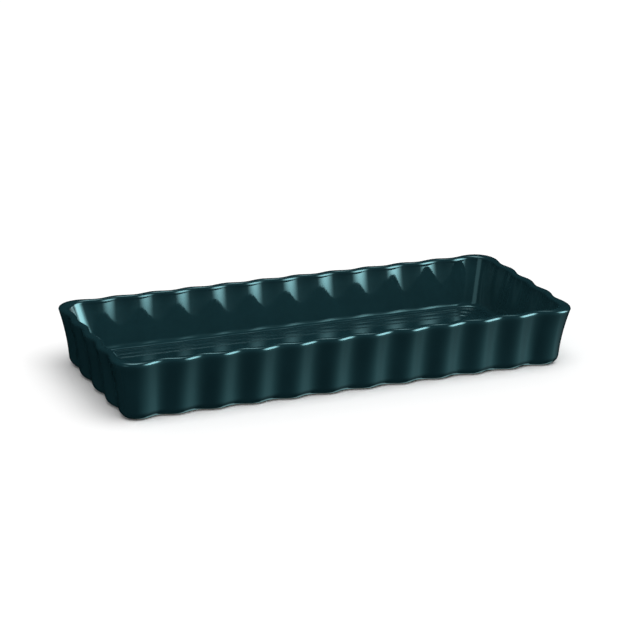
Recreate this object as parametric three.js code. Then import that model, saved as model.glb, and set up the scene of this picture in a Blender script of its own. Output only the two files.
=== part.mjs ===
import * as THREE from "three";

// Rectangular fluted tart dish in one piece of fired ceramic. Millimetres, +Z up, foot on z = 0,
// long side along X, origin at the middle of the footprint.

// Overall size over the rim
const LENGTH = 360;
const WIDTH = 150;
const HEIGHT = 45.7;

// Flutes: lobes standing outward, cosine shaped, with one larger lobe round each corner
const LONG_LOBES = 10;
const SHORT_LOBES = 3;
const LOBE_PITCH = 29.2;
const LOBE_DEPTH = 2.6;
const CORNER_GAIN = 2.6;
const FOOT_LOBE_GAIN = 1.17;
const LOBE_SEGMENTS = 8;
const CORNER_SEGMENTS = 16;

// Corner radius of the mid line of the flutes, at the rim, and how it tightens with the inset
const RIM_CORNER_R = 24.6;
const WALL_TIGHTEN = 0.25;
const FLOOR_CORNER_R = 23;
const FLOOR_INSET = 6.5;
const FLOOR_TIGHTEN = 0.6;

// Wall: insets are measured inward from the rim. The inner face leans straight out from the
// floor, and its flutes are shallower and fade towards the floor.
const LIP_WIDTH = 6.1;
const LIP_RISE = 2.4;
const WALL_FOOT_INSET = 6.3;
const WALL_FOOT_Z = 7.4;
const FLARE_BOW = 3.3;
const FOOT_ROUND = 6.4;
const INNER_LEAN_DEG = 13;
const INNER_RIM_FADE = 0.7;
const INNER_FLOOR_FADE = 0.16;

// Floor and foot
const FLOOR_Z = 8;
const FLOOR_FILLET = 4.4;
const FLOOR_BEADS = 3;
const BEAD_PITCH = 7.1;
const BEAD_WIDTH = 2.8;
const BEAD_HEIGHT = 0.5;
const BEAD_GAP = 0.6;
const BEAD_CREST_START = 0.3;
const BEAD_CREST_END = 0.7;
const FOOT_WIDTH = 6;
const FOOT_RECESS = 1.2;
const FOOT_CHAMFER = 0.8;
const PLAIN_ARC_SEGMENTS = 6;

// Where the lip meets the wall, and where the leaning inner face meets the fillet and the floor
const LIP_Z = HEIGHT - LIP_RISE;
const LEAN = THREE.MathUtils.degToRad(INNER_LEAN_DEG);
const INNER_FOOT_Z = FLOOR_Z + FLOOR_FILLET * (1 - Math.sin(LEAN));
const INNER_FOOT_INSET = LIP_WIDTH + (LIP_Z - INNER_FOOT_Z) * Math.tan(LEAN);
const FLOOR_EDGE_INSET = INNER_FOOT_INSET + FLOOR_FILLET * Math.cos(LEAN);

const positions = [];
const triangles = [];

// Corner radius of the outline at an inset
function cornerRadius(inset) {
  const wall = RIM_CORNER_R - WALL_TIGHTEN * inset;
  const floor = FLOOR_CORNER_R - FLOOR_TIGHTEN * (inset - FLOOR_INSET);
  return Math.max(Math.min(wall, floor), 2);
}

// The quarter path of the mid line: half the front, the corner, half the right end
function quarterPath(inset) {
  const halfX = LENGTH / 2 - LOBE_DEPTH / 2 - inset;
  const halfY = WIDTH / 2 - LOBE_DEPTH / 2 - inset;
  const radius = cornerRadius(inset);
  const frontRun = halfX - radius;
  const endRun = halfY - radius;
  const arc = (radius * Math.PI) / 2;
  return { halfX, halfY, radius, frontRun, endRun, arc, total: frontRun + arc + endRun };
}

// Point and outward normal at a distance along the quarter path
function pathPoint(path, distance) {
  if (distance <= path.frontRun) {
    return { x: distance, y: -path.halfY, nx: 0, ny: -1 };
  }
  if (distance >= path.frontRun + path.arc) {
    return { x: path.halfX, y: distance - path.total, nx: 1, ny: 0 };
  }
  const angle = (distance - path.frontRun) / path.radius;
  const nx = Math.sin(angle);
  const ny = -Math.cos(angle);
  return {
    x: path.frontRun + path.radius * nx,
    y: -path.endRun + path.radius * ny,
    nx,
    ny,
  };
}

// Stations of the quarter: distance along the path and how far the flute stands out, -1 to 1
function quarterStations(path) {
  const cornerStart = (LONG_LOBES / 2) * LOBE_PITCH;
  const cornerEnd = path.total - (SHORT_LOBES / 2) * LOBE_PITCH;
  const stations = [];
  for (let i = 0; i < (LONG_LOBES / 2) * LOBE_SEGMENTS; i += 1) {
    const turn = i / LOBE_SEGMENTS;
    stations.push({ distance: turn * LOBE_PITCH, swell: -Math.cos(2 * Math.PI * turn) });
  }
  for (let i = 0; i < CORNER_SEGMENTS; i += 1) {
    const turn = i / CORNER_SEGMENTS;
    const distance = cornerStart + turn * (cornerEnd - cornerStart);
    const swell = -1 + CORNER_GAIN * (1 - Math.cos(2 * Math.PI * turn));
    stations.push({ distance, swell });
  }
  for (let i = 0; i <= (SHORT_LOBES / 2) * LOBE_SEGMENTS; i += 1) {
    const turn = i / LOBE_SEGMENTS;
    const distance = cornerEnd + turn * LOBE_PITCH;
    stations.push({ distance, swell: -Math.cos(2 * Math.PI * turn) });
  }
  return stations;
}

// The whole outline from its quarter, anticlockwise from the middle of the front
function mirrorQuarter(quarter) {
  const inner = quarter.slice(1, -1);
  const flipY = ([x, y]) => [x, -y];
  const flipX = ([x, y]) => [-x, y];
  const right = [...quarter, ...inner.map(flipY).reverse()];
  const rear = flipY(quarter[0]);
  const left = right.slice(1).map(flipX).reverse();
  return [...right, rear, ...left];
}

// Fluted outline at an inset, with the flutes scaled by fade (1 full, 0 plain)
function flutedOutline(inset, fade) {
  const path = quarterPath(inset);
  const quarter = quarterStations(path).map(({ distance, swell }) => {
    const point = pathPoint(path, distance);
    const out = (LOBE_DEPTH / 2) * swell * fade;
    return [point.x + out * point.nx, point.y + out * point.ny];
  });
  return mirrorQuarter(quarter);
}

// Plain rounded rectangle at an inset
function plainOutline(inset) {
  const path = quarterPath(inset);
  const quarter = [[0, -path.halfY]];
  for (let i = 0; i <= PLAIN_ARC_SEGMENTS; i += 1) {
    const point = pathPoint(path, path.frontRun + (path.arc * i) / PLAIN_ARC_SEGMENTS);
    quarter.push([point.x, point.y]);
  }
  quarter.push([path.halfX, 0]);
  return mirrorQuarter(quarter);
}

// Adds a ring of vertices at a height, and returns its outline with the index it starts from
function addRing(outline, z) {
  const start = positions.length / 3;
  outline.forEach(([x, y]) => positions.push(x, y, z));
  return { start, outline };
}

// Skins two rings of the same count; the faces look outward when the second lies above the first
function bridge(lower, upper) {
  const count = lower.outline.length;
  for (let i = 0; i < count; i += 1) {
    const j = (i + 1) % count;
    triangles.push(lower.start + i, lower.start + j, upper.start + j);
    triangles.push(lower.start + i, upper.start + j, upper.start + i);
  }
}

// Fills a flat level between an outer ring and an optional inner ring
function fillFlat(outer, inner, facesUp) {
  const toVectors = (ring) => ring.outline.map(([x, y]) => new THREE.Vector2(x, y));
  const rim = toVectors(outer);
  const hole = inner ? toVectors(inner).reverse() : [];
  const index = (i) => {
    if (i < rim.length) {
      return outer.start + i;
    }
    return inner.start + (hole.length - 1 - (i - rim.length));
  };
  const faces = THREE.ShapeUtils.triangulateShape(rim, inner ? [hole] : []);
  faces.forEach(([a, b, c]) => {
    const abc = [index(a), index(b), index(c)];
    triangles.push(...(facesUp ? abc : abc.reverse()));
  });
}

// Inset of the outer face of the wall, from the rim (0) to its foot (1); it leans out faster
// towards the rim
function outerInset(below) {
  return (WALL_FOOT_INSET + FLARE_BOW) * below - FLARE_BOW * below * below;
}

// Section of the fluted part, from the foot up the outside, over the rim and down to the floor:
// inset, height and strength of the flutes
function flutedSection() {
  const section = [];
  for (const degrees of [0, 25, 50, 70, 90]) {
    const angle = THREE.MathUtils.degToRad(degrees);
    const inset = WALL_FOOT_INSET + FOOT_ROUND * (1 - Math.sin(angle));
    section.push([inset, WALL_FOOT_Z * (1 - Math.cos(angle)), FOOT_LOBE_GAIN]);
  }
  for (const below of [0.67, 0.33, 0.13, 0]) {
    const z = LIP_Z - below * (LIP_Z - WALL_FOOT_Z);
    section.push([outerInset(below), z, 1 + (FOOT_LOBE_GAIN - 1) * below]);
  }
  for (const degrees of [45, 90, 135, 180]) {
    const angle = THREE.MathUtils.degToRad(degrees);
    const across = (1 - Math.cos(angle)) / 2;
    const fade = 1 - (1 - INNER_RIM_FADE) * across;
    section.push([LIP_WIDTH * across, LIP_Z + LIP_RISE * Math.sin(angle), fade]);
  }
  for (const below of [0.25, 0.5, 0.75]) {
    const fade = INNER_RIM_FADE - (INNER_RIM_FADE - INNER_FLOOR_FADE) * below;
    const inset = LIP_WIDTH + (INNER_FOOT_INSET - LIP_WIDTH) * below;
    section.push([inset, LIP_Z - below * (LIP_Z - INNER_FOOT_Z), fade]);
  }
  for (const turned of [0, 0.33, 0.67, 1]) {
    const angle = THREE.MathUtils.degToRad(INNER_LEAN_DEG + (90 - INNER_LEAN_DEG) * turned);
    section.push([
      FLOOR_EDGE_INSET - FLOOR_FILLET * Math.cos(angle),
      FLOOR_Z + FLOOR_FILLET * (1 - Math.sin(angle)),
      INNER_FLOOR_FADE * (1 - turned),
    ]);
  }
  return section;
}

// Underside: recessed middle, chamfered step and flat foot
const footInset = WALL_FOOT_INSET + FOOT_ROUND + FOOT_WIDTH;
const recess = addRing(plainOutline(footInset + FOOT_CHAMFER), FOOT_RECESS);
const footEdge = addRing(plainOutline(footInset), 0);
fillFlat(recess, null, false);
bridge(recess, footEdge);

// Fluted wall
const wallRings = flutedSection().map(([inset, z, fade]) => addRing(flutedOutline(inset, fade), z));
fillFlat(wallRings[0], footEdge, false);
for (let i = 1; i < wallRings.length; i += 1) {
  bridge(wallRings[i - 1], wallRings[i]);
}

// Floor: raised beads that follow its edge, then the plain middle
const floorEdge = wallRings[wallRings.length - 1];
const beadRings = [];
for (let i = 0; i < FLOOR_BEADS; i += 1) {
  const inset = FLOOR_EDGE_INSET + BEAD_GAP + i * BEAD_PITCH;
  const crestZ = FLOOR_Z + BEAD_HEIGHT;
  beadRings.push(addRing(plainOutline(inset), FLOOR_Z));
  beadRings.push(addRing(plainOutline(inset + BEAD_CREST_START * BEAD_WIDTH), crestZ));
  beadRings.push(addRing(plainOutline(inset + BEAD_CREST_END * BEAD_WIDTH), crestZ));
  beadRings.push(addRing(plainOutline(inset + BEAD_WIDTH), FLOOR_Z));
}
fillFlat(floorEdge, beadRings[0], true);
for (let i = 1; i < beadRings.length; i += 1) {
  bridge(beadRings[i - 1], beadRings[i]);
}
fillFlat(beadRings[beadRings.length - 1], null, true);

const geometry = new THREE.BufferGeometry();
geometry.setAttribute("position", new THREE.Float32BufferAttribute(positions, 3));
geometry.setIndex(triangles);
geometry.computeVertexNormals();

const glaze = new THREE.MeshStandardMaterial({ color: 0x12343a, roughness: 0.25 });
const dishBody = new THREE.Mesh(geometry, glaze);
dishBody.name = "dish_body";

const group = new THREE.Group();
group.name = "tart_pan";
group.add(dishBody);

export default group;
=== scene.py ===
import math

import bpy
from mathutils import Matrix, Vector


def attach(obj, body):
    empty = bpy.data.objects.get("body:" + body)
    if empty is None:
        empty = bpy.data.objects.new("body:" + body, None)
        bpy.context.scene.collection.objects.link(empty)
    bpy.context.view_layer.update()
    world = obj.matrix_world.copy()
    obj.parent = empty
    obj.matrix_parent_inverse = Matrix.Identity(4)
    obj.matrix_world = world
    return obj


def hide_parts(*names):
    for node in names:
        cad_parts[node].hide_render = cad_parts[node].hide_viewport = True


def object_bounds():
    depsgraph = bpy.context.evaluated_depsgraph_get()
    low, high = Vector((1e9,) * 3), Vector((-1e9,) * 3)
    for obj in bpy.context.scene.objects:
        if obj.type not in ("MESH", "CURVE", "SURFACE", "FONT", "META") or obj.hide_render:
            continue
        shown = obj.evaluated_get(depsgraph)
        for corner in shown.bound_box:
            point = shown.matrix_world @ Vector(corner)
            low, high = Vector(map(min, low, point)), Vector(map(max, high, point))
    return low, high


# Rectangular fluted tart dish of glazed stoneware. Metres, the same frame as the CAD.

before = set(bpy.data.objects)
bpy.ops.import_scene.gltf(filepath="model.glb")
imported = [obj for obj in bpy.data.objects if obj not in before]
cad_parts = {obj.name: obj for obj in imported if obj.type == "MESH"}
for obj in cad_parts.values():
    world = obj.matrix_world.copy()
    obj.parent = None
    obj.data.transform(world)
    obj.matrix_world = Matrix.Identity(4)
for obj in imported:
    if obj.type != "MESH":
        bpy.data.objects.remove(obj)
cad_low, cad_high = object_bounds()

MM = 0.001

# Size over the rim. The width is over the flutes, and the corner lobes stand about half a
# millimetre further out to the front and the rear.
LENGTH = cad_high.x - cad_low.x
WIDTH = 150 * MM
HEIGHT = cad_high.z

# Flutes
LONG_LOBES = 10
SHORT_LOBES = 3
LOBE_PITCH = 29.2 * MM
LOBE_DEPTH = 2.6 * MM
CORNER_GAIN = 2.6
FOOT_LOBE_GAIN = 1.17
LOBE_SEGMENTS = 24
CORNER_SEGMENTS = 48

# Corner radius of the mid line of the flutes, at the rim, and how it tightens with the inset
RIM_CORNER_R = 24.6 * MM
WALL_TIGHTEN = 0.25
FLOOR_CORNER_R = 23 * MM
FLOOR_INSET = 6.5 * MM
FLOOR_TIGHTEN = 0.6
MIN_CORNER_R = 2 * MM

# Wall section: insets are measured inward from the rim. The inner face leans straight out from
# the floor, and its flutes are shallower and fade towards the floor.
LIP_WIDTH = 6.1 * MM
LIP_RISE = 2.4 * MM
WALL_FOOT_INSET = 6.3 * MM
WALL_FOOT_Z = 7.4 * MM
FLARE_BOW = 3.3 * MM
FOOT_ROUND = 6.4 * MM
INNER_LEAN = math.radians(13)
INNER_RIM_FADE = 0.7
INNER_FLOOR_FADE = 0.16
FOOT_ROWS = 14
WALL_ROWS = 26
LIP_ROWS = 20
FILLET_ROWS = 10

# Floor and foot. The outermost bead is the highest, and each one inside it is lower.
FLOOR_Z = 8 * MM
FLOOR_FILLET = 4.4 * MM
FLOOR_BEADS = 3
BEAD_PITCH = 7.1 * MM
BEAD_WIDTH = 1.9 * MM
BEAD_HEIGHT = 0.75 * MM
BEAD_DROP = 0.12 * MM
BEAD_GAP = 1 * MM
BEAD_ROWS = 10
FOOT_WIDTH = 6 * MM
FOOT_RECESS = 1.2 * MM
FOOT_STEP = 0.8 * MM
FOOT_STEP_ROWS = 4
CAP_MARGIN = 1 * MM

# The foot is wiped clean of glaze where it is flat
CLAY_BELOW = 0.2 * MM
CLAY_LEVEL = 0.9

# How pale the glaze is made (0 to 1): palest on the steep inner wall, where it is painted light
# that lifts the wall's shade, some on the rim, where the glaze lies thin, and none on the floor
# and the lower outer wall. It sets in over the outer wall's top and the inner wall's.
RIM_THIN = 0.3
THIN_ABOVE = 0.9
INNER_PAINTED_LIGHT_BY = 0.2

# Where the lip meets the wall, and where the leaning inner face meets the fillet and the floor
LIP_Z = HEIGHT - LIP_RISE
INNER_FOOT_Z = FLOOR_Z + FLOOR_FILLET * (1 - math.sin(INNER_LEAN))
INNER_FOOT_INSET = LIP_WIDTH + (LIP_Z - INNER_FOOT_Z) * math.tan(INNER_LEAN)
FLOOR_EDGE_INSET = INNER_FOOT_INSET + FLOOR_FILLET * math.cos(INNER_LEAN)

# Noise runs over the surface in lumps of one over its scale in metres. Its values lie mostly
# between these two, which are spread over the range wanted.
NOISE_MIDDLE = (0.3, 0.7)

# Glaze: two tones where it pools, a paler one for thin glaze on the rim and for painted light on
# the inner wall, and a tinted shine
POOL_SCALE = 28
POOL_TONES = ((0.0052, 0.0200, 0.0246), (0.0066, 0.0256, 0.0314))
PALE_PATCH_SCALE = 160
THIN_GLAZE_AND_PAINTED_LIGHT_TONE = (0.0140, 0.0500, 0.0590)
PALE_PATCH_RANGE = (0.44, 0.56)
SHINE_SCALE = 90
SHINE_ROUGHNESS = (0.03, 0.06)
SHINE_LEVEL = 0.5
SHINE_TINT = (0.5, 0.95, 1, 1)
WAVE_SCALE = 55
WAVE_HEIGHT = 0.06 * MM
PEEL_SCALE = 420
PEEL_HEIGHT = 0.006 * MM

# Bare clay
GRIT_SCALE = 900
GRIT_TONES = ((0.34, 0.25, 0.17), (0.56, 0.45, 0.33))
GRIT_HEIGHT = 0.08 * MM
CLAY_ROUGHNESS = 0.85
CLAY_SHINE = 0.3

# Table
TABLE_HALF = 8
TABLE_COLOUR = (0.9, 0.9, 0.9, 1)
TABLE_ROUGHNESS = 0.9

# Camera: where it looks from and how it frames the dish. The lens and the sensor are in
# millimetres, and the rise is a share of the sensor.
CAMERA_AZIMUTH = math.radians(-23.43)
CAMERA_ELEVATION = math.radians(19.82)
CAMERA_ROLL = math.radians(0.97)
CAMERA_DISTANCE = 1.8367
CAMERA_TARGET = Vector((0.0017, 0.004, 0))
CAMERA_LENS = 140.3
CAMERA_SENSOR = 36
CAMERA_RISE = 0.0727
CAMERA_CLIP = (0.05, 50)

# Studio: soft boxes stand on spheres round the dish, and only reflections see them. Distances are
# in metres, and a brightness of 1 is a white card's.
CARD_DISTANCE = 30
CARD_SPACING = 1
CARD_STEP = 2
CARD_FALLOFF = 1.5
KEY_COLOUR = (0.85, 0.98, 1)
FILL_COLOUR = (0.6, 0.96, 1)
KEY_BRIGHT = 16
SPILL_BRIGHT = 0.35
TOP_BRIGHT = 6
LOW_BRIGHT = 1.08
BOUNCE_BRIGHT = 1.5
STRIP_BRIGHT = 1.1
AMBIENT = 0.54
SUN_BRIGHT = 2.2
SUN_SPREAD = 60
SUN_FROM = Vector((0.1, -0.3, 0.95))


# ---------------------------------------------------------------- the dish


def corner_radius(inset):
    """Corner radius of the outline at an inset."""
    wall = RIM_CORNER_R - WALL_TIGHTEN * inset
    floor = FLOOR_CORNER_R - FLOOR_TIGHTEN * (inset - FLOOR_INSET)
    return max(min(wall, floor), MIN_CORNER_R)


def quarter_path(inset):
    """The mid line of the flutes over half the front, the corner and half the right end."""
    half_x = LENGTH / 2 - LOBE_DEPTH / 2 - inset
    half_y = WIDTH / 2 - LOBE_DEPTH / 2 - inset
    radius = corner_radius(inset)
    front = half_x - radius
    end = half_y - radius
    arc = radius * math.pi / 2
    return {"half_x": half_x, "half_y": half_y, "radius": radius, "front": front, "end": end,
            "arc": arc, "total": front + arc + end}


def path_point(path, distance):
    """Point and outward normal at a distance along the quarter path."""
    if distance <= path["front"]:
        return distance, -path["half_y"], 0.0, -1.0
    if distance >= path["front"] + path["arc"]:
        return path["half_x"], distance - path["total"], 1.0, 0.0
    angle = (distance - path["front"]) / path["radius"]
    nx, ny = math.sin(angle), -math.cos(angle)
    return path["front"] + path["radius"] * nx, -path["end"] + path["radius"] * ny, nx, ny


def corner_span(path, inset):
    """Where the corner's stations start and end along the path: between the flutes on the walls,
    and drawing in to the arc itself on the floor, where the path gets too short for the flutes."""
    settled = min(max((inset - FLOOR_EDGE_INSET) / (FLOOR_BEADS * BEAD_PITCH), 0), 1)
    start = LONG_LOBES / 2 * LOBE_PITCH
    end = path["total"] - SHORT_LOBES / 2 * LOBE_PITCH
    arc_end = path["front"] + path["arc"]
    return start + settled * (path["front"] - start), end + settled * (arc_end - end)


def quarter_stations(path, inset):
    """Distance along the quarter path, and how far the flute stands out there, -1 to 1."""
    corner_start, corner_end = corner_span(path, inset)
    front_pitch = corner_start / (LONG_LOBES / 2)
    end_pitch = (path["total"] - corner_end) / (SHORT_LOBES / 2)
    stations = []
    for i in range(int(LONG_LOBES / 2 * LOBE_SEGMENTS)):
        turn = i / LOBE_SEGMENTS
        stations.append((turn * front_pitch, -math.cos(2 * math.pi * turn)))
    for i in range(CORNER_SEGMENTS):
        turn = i / CORNER_SEGMENTS
        distance = corner_start + turn * (corner_end - corner_start)
        stations.append((distance, -1 + CORNER_GAIN * (1 - math.cos(2 * math.pi * turn))))
    for i in range(int(SHORT_LOBES / 2 * LOBE_SEGMENTS) + 1):
        turn = i / LOBE_SEGMENTS
        stations.append((corner_end + turn * end_pitch, -math.cos(2 * math.pi * turn)))
    return stations


def outline(inset, fade):
    """Closed fluted outline, anticlockwise from the middle of the front. Fade 0 is plain."""
    path = quarter_path(inset)
    quarter = []
    for distance, swell in quarter_stations(path, inset):
        x, y, nx, ny = path_point(path, distance)
        out = LOBE_DEPTH / 2 * swell * fade
        quarter.append((x + out * nx, y + out * ny))
    right = quarter + [(x, -y) for x, y in reversed(quarter[1:-1])]
    rear = [(quarter[0][0], -quarter[0][1])]
    left = [(-x, y) for x, y in reversed(right[1:])]
    return right + rear + left


def outer_inset(below):
    """Inset of the outer face, from the rim (0) to its foot (1). It flares faster at the rim."""
    return (WALL_FOOT_INSET + FLARE_BOW) * below - FLARE_BOW * below * below


def steps(count):
    """Fractions from 0 to 1, both ends included."""
    return [i / count for i in range(count + 1)]


def dish_section():
    """Section from the recess under the dish, round the outside, over the rim, to the floor:
    inset, height, strength of the flutes, and how pale the glaze is made (0 to 1): thin glaze
    on the rim, painted light on the inner wall."""
    foot_outer = WALL_FOOT_INSET + FOOT_ROUND
    foot_inner = foot_outer + FOOT_WIDTH
    section = [(foot_inner + FOOT_STEP + CAP_MARGIN, FOOT_RECESS, 0, 0)]
    for t in steps(FOOT_STEP_ROWS):
        turn = t * math.pi / 2
        section.append((foot_inner + FOOT_STEP * (1 - math.sin(turn)),
                        FOOT_RECESS * math.cos(turn) ** 2, 0, 0))
    for t in steps(FOOT_ROWS):
        turn = t * math.pi / 2
        section.append((WALL_FOOT_INSET + FOOT_ROUND * (1 - math.sin(turn)),
                        WALL_FOOT_Z * (1 - math.cos(turn)), FOOT_LOBE_GAIN, 0))
    for t in steps(WALL_ROWS)[1:]:
        below = 1 - t
        section.append((outer_inset(below), LIP_Z - below * (LIP_Z - WALL_FOOT_Z),
                        1 + (FOOT_LOBE_GAIN - 1) * below,
                        RIM_THIN * max(0, (t - THIN_ABOVE) / (1 - THIN_ABOVE))))
    for t in steps(LIP_ROWS)[1:]:
        turn = t * math.pi
        across = (1 - math.cos(turn)) / 2
        section.append((LIP_WIDTH * across, LIP_Z + LIP_RISE * math.sin(turn),
                        1 - (1 - INNER_RIM_FADE) * across, RIM_THIN))
    # Down the inner wall the glaze turns fully pale: painted light that lifts the shade inside the
    # dish. It fades out again over the fillet.
    for t in steps(WALL_ROWS)[1:]:
        section.append((LIP_WIDTH + (INNER_FOOT_INSET - LIP_WIDTH) * t,
                        LIP_Z - t * (LIP_Z - INNER_FOOT_Z),
                        INNER_RIM_FADE - (INNER_RIM_FADE - INNER_FLOOR_FADE) * t,
                        RIM_THIN + (1 - RIM_THIN) * min(1, t / INNER_PAINTED_LIGHT_BY)))
    for t in steps(FILLET_ROWS)[1:]:
        turn = INNER_LEAN + (math.pi / 2 - INNER_LEAN) * t
        section.append((FLOOR_EDGE_INSET - FLOOR_FILLET * math.cos(turn),
                        FLOOR_Z + FLOOR_FILLET * (1 - math.sin(turn)),
                        INNER_FLOOR_FADE * (1 - t), 1 - t))
    for bead in range(FLOOR_BEADS):
        start = FLOOR_EDGE_INSET + BEAD_GAP + bead * BEAD_PITCH
        height = BEAD_HEIGHT - bead * BEAD_DROP
        for t in steps(BEAD_ROWS):
            lift = height * (1 - math.cos(2 * math.pi * t)) / 2
            section.append((start + t * BEAD_WIDTH, FLOOR_Z + lift, 0, 0))
    section.append((section[-1][0] + CAP_MARGIN, FLOOR_Z, 0, 0))
    return section


def add_cap(vertices, ring, faces_up):
    """Closes a flat ring on to a spine along its middle, and returns the faces."""
    count = len(ring)
    half = count // 2
    quarter = half // 2
    reach = vertices[ring[quarter]][0] - abs(vertices[ring[0]][1])
    z = vertices[ring[0]][2]
    spine = []
    for i in range(-quarter, quarter + 1):
        x = min(max(vertices[ring[i % count]][0], -reach), reach)
        if not spine or vertices[spine[-1]][0] != x:
            vertices.append((x, 0.0, z))
            spine.append(len(vertices) - 1)
        else:
            spine.append(spine[-1])
    faces = []
    for i in range(-quarter, quarter):
        near, near_next = spine[i + quarter], spine[i + quarter + 1]
        faces.append([ring[i % count], ring[(i + 1) % count], near_next, near])
        faces.append([ring[(half - i - 1) % count], ring[(half - i) % count], near, near_next])
    faces = [list(dict.fromkeys(face)) for face in faces]
    return faces if faces_up else [face[::-1] for face in faces]


def make_dish():
    """One closed skin: rings of the section joined by quads, closed under and over the floor."""
    rings = []
    vertices = []
    thin_and_lit = []
    for inset, z, fade, thin_and_lit_level in dish_section():
        ring = outline(inset, fade)
        rings.append(range(len(vertices), len(vertices) + len(ring)))
        vertices.extend((x, y, z) for x, y in ring)
        # Paleness per vertex: thin glaze on the rim, painted light on the inner wall.
        thin_and_lit.extend([thin_and_lit_level] * len(ring))
    faces = add_cap(vertices, rings[0], False)
    for lower, upper in zip(rings, rings[1:]):
        count = len(lower)
        for i in range(count):
            j = (i + 1) % count
            faces.append([lower[i], lower[j], upper[j], upper[i]])
    faces += add_cap(vertices, rings[-1], True)
    thin_and_lit += [0.0] * (len(vertices) - len(thin_and_lit))
    mesh = bpy.data.meshes.new("dish_body_glazed")
    mesh.from_pydata(vertices, [], faces)
    mesh.attributes.new("thin_glaze_and_painted_light", "FLOAT", "POINT").data.foreach_set("value", thin_and_lit)
    mesh.shade_smooth()
    for face in mesh.polygons:
        if face.center.z < CLAY_BELOW and abs(face.normal.z) > CLAY_LEVEL:
            face.material_index = 1
    mesh.validate()
    dish = bpy.data.objects.new("dish_body_glazed", mesh)
    bpy.context.collection.objects.link(dish)
    return dish


# ---------------------------------------------------------------- materials


def new_material(name):
    """A node material with its Principled shader."""
    material = bpy.data.materials.new(name)
    material.use_nodes = True
    nodes = material.node_tree.nodes
    return material, nodes, material.node_tree.links, nodes["Principled BSDF"]


def add_noise(nodes, links, position, scale, detail):
    """Noise over the surface, in lumps of about 1 / scale metres."""
    noise = nodes.new("ShaderNodeTexNoise")
    noise.inputs["Scale"].default_value = scale
    noise.inputs["Detail"].default_value = detail
    links.new(position, noise.inputs["Vector"])
    return noise.outputs["Fac"]


def map_range(nodes, links, value, low, high):
    """Spreads the middle of a noise over low to high."""
    spread = nodes.new("ShaderNodeMapRange")
    spread.inputs["From Min"].default_value = NOISE_MIDDLE[0]
    spread.inputs["From Max"].default_value = NOISE_MIDDLE[1]
    spread.inputs["To Min"].default_value = low
    spread.inputs["To Max"].default_value = high
    links.new(value, spread.inputs["Value"])
    return spread.outputs["Result"]


def mix_colour(nodes, links, factor, first, second):
    """Blends two colours; each is a tuple or another node's output."""
    mix = nodes.new("ShaderNodeMix")
    mix.data_type = "RGBA"
    links.new(factor, mix.inputs["Factor"])
    for socket, colour in ((mix.inputs[6], first), (mix.inputs[7], second)):
        if isinstance(colour, tuple):
            socket.default_value = (*colour, 1)
        else:
            links.new(colour, socket)
    return mix.outputs[2]


def bump(nodes, links, height, distance, normal=None):
    """Bump of a height in metres, over an earlier bump."""
    node = nodes.new("ShaderNodeBump")
    node.inputs["Strength"].default_value = 1
    node.inputs["Distance"].default_value = distance
    links.new(height, node.inputs["Height"])
    if normal is not None:
        links.new(normal, node.inputs["Normal"])
    return node.outputs["Normal"]


def glaze_material():
    """Glossy teal glaze: it pools darker, is paler where it lies thin on the rim and where light
    is painted on the inner wall, and has a faint orange peel."""
    material, nodes, links, shader = new_material("teal_glaze")
    position = nodes.new("ShaderNodeTexCoord").outputs["Object"]
    pooling = map_range(nodes, links, add_noise(nodes, links, position, POOL_SCALE, 3), 0, 1)
    body = mix_colour(nodes, links, pooling, *POOL_TONES)
    # Paler tone: thin glaze on the rim, and painted light on the inner wall.
    thin_and_lit = nodes.new("ShaderNodeAttribute")
    thin_and_lit.attribute_name = "thin_glaze_and_painted_light"
    pale_amount = nodes.new("ShaderNodeMath")
    pale_amount.operation = "MULTIPLY"
    links.new(thin_and_lit.outputs["Fac"], pale_amount.inputs[0])
    cloudy = add_noise(nodes, links, position, PALE_PATCH_SCALE, 3)
    links.new(map_range(nodes, links, cloudy, *PALE_PATCH_RANGE), pale_amount.inputs[1])
    colour = mix_colour(nodes, links, pale_amount.outputs["Value"], body, THIN_GLAZE_AND_PAINTED_LIGHT_TONE)
    links.new(colour, shader.inputs["Base Color"])
    patchy = add_noise(nodes, links, position, SHINE_SCALE, 4)
    links.new(map_range(nodes, links, patchy, *SHINE_ROUGHNESS), shader.inputs["Roughness"])
    waves = bump(nodes, links, add_noise(nodes, links, position, WAVE_SCALE, 1), WAVE_HEIGHT)
    peel = bump(nodes, links, add_noise(nodes, links, position, PEEL_SCALE, 2), PEEL_HEIGHT, waves)
    links.new(peel, shader.inputs["Normal"])
    shader.inputs["Specular IOR Level"].default_value = SHINE_LEVEL
    shader.inputs["Specular Tint"].default_value = SHINE_TINT
    return material


def clay_material():
    """Bare fired clay: buff, matt and gritty, with darker specks."""
    material, nodes, links, shader = new_material("bare_clay")
    position = nodes.new("ShaderNodeTexCoord").outputs["Object"]
    grit = add_noise(nodes, links, position, GRIT_SCALE, 4)
    speck = map_range(nodes, links, grit, 0, 1)
    links.new(mix_colour(nodes, links, speck, *GRIT_TONES), shader.inputs["Base Color"])
    shader.inputs["Roughness"].default_value = CLAY_ROUGHNESS
    shader.inputs["Specular IOR Level"].default_value = CLAY_SHINE
    links.new(bump(nodes, links, grit, GRIT_HEIGHT), shader.inputs["Normal"])
    return material


def floor_material():
    """Plain pale table with no shine."""
    material, _, _, shader = new_material("pale_floor")
    shader.inputs["Base Color"].default_value = TABLE_COLOUR
    shader.inputs["Roughness"].default_value = TABLE_ROUGHNESS
    shader.inputs["Specular IOR Level"].default_value = 0
    return material


# ---------------------------------------------------------------- camera, stage and light


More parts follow.
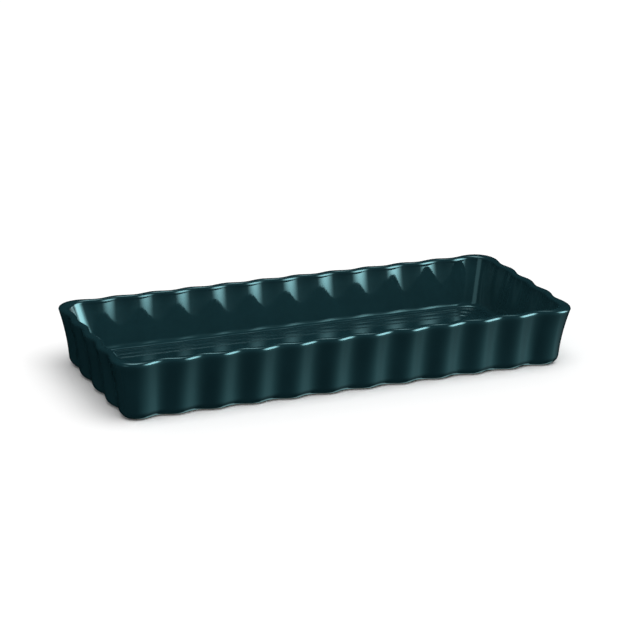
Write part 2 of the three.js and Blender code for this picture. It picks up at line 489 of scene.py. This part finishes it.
def make_camera():
    """The camera, turned a little about its own view."""
    back = Vector((math.sin(CAMERA_AZIMUTH) * math.cos(CAMERA_ELEVATION),
                   -math.cos(CAMERA_AZIMUTH) * math.cos(CAMERA_ELEVATION),
                   math.sin(CAMERA_ELEVATION)))
    data = bpy.data.cameras.new("camera")
    data.sensor_width = CAMERA_SENSOR
    data.lens = CAMERA_LENS
    data.shift_y = CAMERA_RISE
    data.clip_start, data.clip_end = CAMERA_CLIP
    camera = bpy.data.objects.new("camera", data)
    bpy.context.collection.objects.link(camera)
    camera.location = CAMERA_TARGET + CAMERA_DISTANCE * back
    upright = (-back).to_track_quat("-Z", "Y").to_matrix().to_4x4()
    turn = upright @ Matrix.Rotation(CAMERA_ROLL, 4, "Z")
    camera.rotation_euler = turn.to_euler()
    bpy.context.scene.camera = camera


def make_floor():
    """The table; the dish doesn't mirror it and takes no bounced light from it."""
    half = TABLE_HALF
    mesh = bpy.data.meshes.new("floor")
    mesh.from_pydata([(-half, -half, 0), (half, -half, 0), (half, half, 0), (-half, half, 0)],
                     [], [[0, 1, 2, 3]])
    floor = bpy.data.objects.new("floor", mesh)
    bpy.context.collection.objects.link(floor)
    floor.data.materials.append(floor_material())
    floor.visible_glossy = False
    floor.visible_diffuse = False


def fade(value, dark, full):
    """0 at dark, 1 at full, and steeper towards full."""
    return min(max((value - dark) / (full - dark), 0), 1) ** CARD_FALLOFF


def soft_box(name, place, azimuth, elevation, bright, colour):
    """A clear glowing card, seen in reflections only, so that cards add up. Place is its order
    outward. Azimuth (round from +X) and elevation (up from the table) are each four angles in
    degrees: where it starts, where it is full, where it stops being full and where it ends."""
    distance = CARD_DISTANCE + place * CARD_SPACING
    across = range(azimuth[0], azimuth[3] + 1, CARD_STEP)
    up = range(elevation[0], elevation[3] + 1, CARD_STEP)
    vertices = []
    glow = []
    for rise in up:
        for turn in across:
            level = distance * math.cos(math.radians(rise))
            vertices.append((level * math.cos(math.radians(turn)),
                             level * math.sin(math.radians(turn)),
                             distance * math.sin(math.radians(rise))))
            glow.append(fade(turn, azimuth[0], azimuth[1]) * fade(turn, azimuth[3], azimuth[2])
                        * fade(rise, elevation[0], elevation[1])
                        * fade(rise, elevation[3], elevation[2]))
    row = len(across)
    faces = []
    for r in range(len(up) - 1):
        for c in range(row - 1):
            corner = r * row + c
            faces.append([corner, corner + row, corner + row + 1, corner + 1])
    mesh = bpy.data.meshes.new(name)
    mesh.from_pydata(vertices, [], faces)
    mesh.attributes.new("glow", "FLOAT", "POINT").data.foreach_set("value", glow)
    material = bpy.data.materials.new(name)
    material.use_nodes = True
    nodes, links = material.node_tree.nodes, material.node_tree.links
    nodes.clear()
    attribute = nodes.new("ShaderNodeAttribute")
    attribute.attribute_name = "glow"
    strength = nodes.new("ShaderNodeMath")
    strength.operation = "MULTIPLY"
    strength.inputs[1].default_value = bright
    links.new(attribute.outputs["Fac"], strength.inputs[0])
    emission = nodes.new("ShaderNodeEmission")
    emission.inputs["Color"].default_value = (*colour, 1)
    links.new(strength.outputs["Value"], emission.inputs["Strength"])
    add = nodes.new("ShaderNodeAddShader")
    links.new(emission.outputs["Emission"], add.inputs[0])
    links.new(nodes.new("ShaderNodeBsdfTransparent").outputs["BSDF"], add.inputs[1])
    links.new(add.outputs["Shader"], nodes.new("ShaderNodeOutputMaterial").inputs["Surface"])
    mesh.materials.append(material)
    card = bpy.data.objects.new(name, mesh)
    bpy.context.collection.objects.link(card)
    card.visible_camera = False
    card.visible_diffuse = False
    card.visible_shadow = False
    card.visible_transmission = False


def make_studio():
    """A tall soft box to the right of the front and its spill, a soft box high up behind, a dim
    low card round the front, the light that the table throws back under the foot, and a strip
    at the front left. A pale room lights the rest."""
    soft_box("key_box", 0, (-66, -42, -20, 2), (-3, 1, 40, 58), KEY_BRIGHT, KEY_COLOUR)
    soft_box("key_spill", 1, (-100, -64, -50, -30), (-3, 1, 30, 50), SPILL_BRIGHT, KEY_COLOUR)
    soft_box("top_box", 2, (16, 50, 86, 120), (54, 64, 76, 88), TOP_BRIGHT, KEY_COLOUR)
    soft_box("low_card", 3, (-104, -32, -28, 30), (-62, -28, -4, 0), LOW_BRIGHT, FILL_COLOUR)
    soft_box("table_bounce", 4, (-4, 14, 50, 80), (-64, -60, -50, -44), BOUNCE_BRIGHT,
             FILL_COLOUR)
    soft_box("left_strip", 5, (-172, -162, -142, -132), (4, 10, 50, 60), STRIP_BRIGHT,
             KEY_COLOUR)
    world = bpy.data.worlds.new("room")
    world.use_nodes = True
    world.node_tree.nodes["Background"].inputs["Color"].default_value = (1, 1, 1, 1)
    world.node_tree.nodes["Background"].inputs["Strength"].default_value = AMBIENT
    world.cycles_visibility.glossy = False
    bpy.context.scene.world = world
    data = bpy.data.lights.new("soft_sun", "SUN")
    data.energy = SUN_BRIGHT
    data.angle = math.radians(SUN_SPREAD)
    lamp = bpy.data.objects.new("soft_sun", data)
    bpy.context.collection.objects.link(lamp)
    lamp.rotation_euler = SUN_FROM.to_track_quat("Z", "Y").to_euler()
    lamp.visible_glossy = False


make_camera()
make_floor()
make_studio()
bpy.context.scene.view_settings.view_transform = "Standard"

dish = make_dish()
dish.data.materials.append(glaze_material())
dish.data.materials.append(clay_material())
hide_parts("dish_body")
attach(dish, "root")
